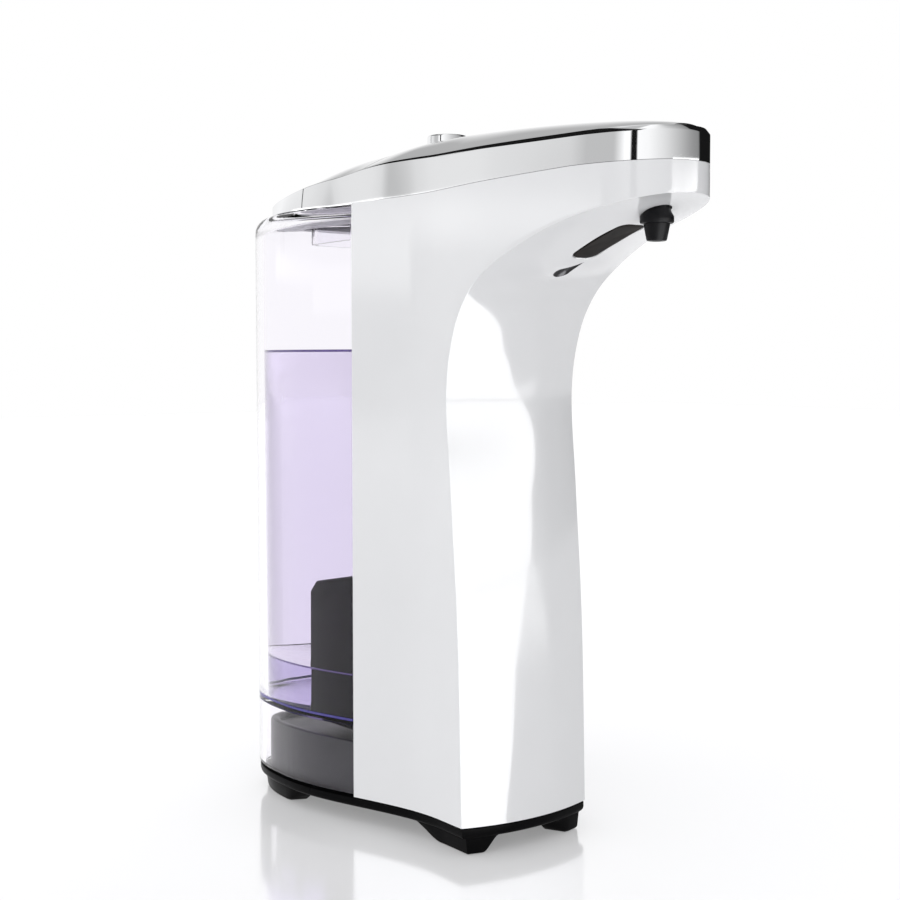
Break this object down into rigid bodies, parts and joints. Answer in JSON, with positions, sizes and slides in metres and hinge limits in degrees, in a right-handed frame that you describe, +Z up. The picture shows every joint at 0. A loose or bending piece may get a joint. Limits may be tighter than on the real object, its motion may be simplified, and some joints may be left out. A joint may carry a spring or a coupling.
{
  "type": "touch-free soap dispenser",
  "caption": "Free-standing touch-free soap dispenser: white arched body, clear rear soap tank, chrome top with hinged refill lid and button, black nozzle and base.",
  "frame": {"origin": "centre of the bounding box, on the counter under the feet", "axes": "+Z up, -Y towards the user and the nozzle, +X to the right across the body"},
  "size_m": [0.0756, 0.172, 0.2046],
  "materials": {
    "white_shell": "gloss",
    "black_plastic": "satin",
    "rubber": "matte",
    "battery": "gloss",
    "steel": "satin",
    "smoke_plastic": "satin",
    "clear_plastic": "clear gloss",
    "chrome": "mirror",
    "natural_plastic": "satin",
    "board": "gloss",
    "plum_plastic": "satin",
    "brass": "satin",
    "tube": "translucent",
    "window": "gloss",
    "emitter": "gloss",
    "led": "gloss",
    "wire": "satin"
  },
  "bodies": {
    "root": {"body_shell": "white_shell", "bulkhead": "black_plastic", "base_chassis": "black_plastic", "foot_pads": "rubber", "battery_box": "black_plastic", "batteries": "battery", "battery_contacts": "steel", "battery_gasket": "rubber", "battery_cover": "black_plastic", "battery_cover_screw": "steel", "tank_seat": "smoke_plastic", "tank": "clear_plastic", "fill_collar": "clear_plastic", "top_trim": "chrome", "top_cover": "chrome", "lid_hinge_pin": "steel", "button_spring": "steel", "button_switch": "black_plastic", "control_board": "board", "board_screws": "steel", "pump_tower": "plum_plastic", "pump_body": "natural_plastic", "pump_cover_plate": "natural_plastic", "pump_cover_screws": "steel", "idler_pin": "steel", "shaft_seal": "rubber", "motor_can": "steel", "gear_plate": "black_plastic", "inlet_strainer": "rubber", "inlet_o_ring": "rubber", "outlet_elbow": "natural_plastic", "delivery_tube": "tube", "nozzle_collar": "black_plastic", "nozzle_tip": "black_plastic", "check_valve": "rubber", "sensor_window": "window", "sensor_board": "board", "ir_emitter": "emitter", "ir_receiver": "window", "indicator_lens": "chrome", "indicator_led": "led", "motor_leads": "wire", "bulkhead_screws": "steel", "chassis_screws": "steel"},
    "lid": {"refill_lid": "chrome", "lid_liner": "natural_plastic", "lid_gasket": "rubber"},
    "button": {"control_button": "chrome"},
    "pump_drive": {"pump_drive_gear": "steel", "drive_shaft": "steel", "reduction_gear": "natural_plastic"},
    "idler": {"pump_idler_gear": "steel"},
    "rotor": {"motor_shaft": "steel", "motor_pinion": "brass"}
  },
  "joints": [
    {"name": "lid_hinge", "type": "hinge", "parent": "root", "child": "lid", "pos_m": [0, 0.0784, 0.1874], "axis": [-1, 0, 0], "range_deg": [0, 95]},
    {"name": "button_press", "type": "slide", "parent": "root", "child": "button", "axis": [0, 0, -1], "range_m": [0, 0.001], "stiffness_N_per_m": 400, "springref_m": -0.001, "deforming": ["button_spring"]},
    {"name": "pump_drive_spin", "type": "hinge", "parent": "root", "child": "pump_drive", "pos_m": [-0.00495, 0.03, 0.038], "axis": [0, 1, 0], "continuous": true},
    {"name": "pump_idler_spin", "type": "hinge", "parent": "root", "child": "idler", "pos_m": [0.00495, 0.03, 0.038], "axis": [0, 1, 0], "continuous": true},
    {"name": "motor_spin", "type": "hinge", "parent": "root", "child": "rotor", "pos_m": [-0.00495, 0.03, 0.0562], "axis": [0, 1, 0], "continuous": true}
  ],
  "couplings": [
    {"joint": "pump_idler_spin", "follows": "pump_drive_spin", "ratio": -1},
    {"joint": "motor_spin", "follows": "pump_drive_spin", "ratio": -4.2}
  ]
}
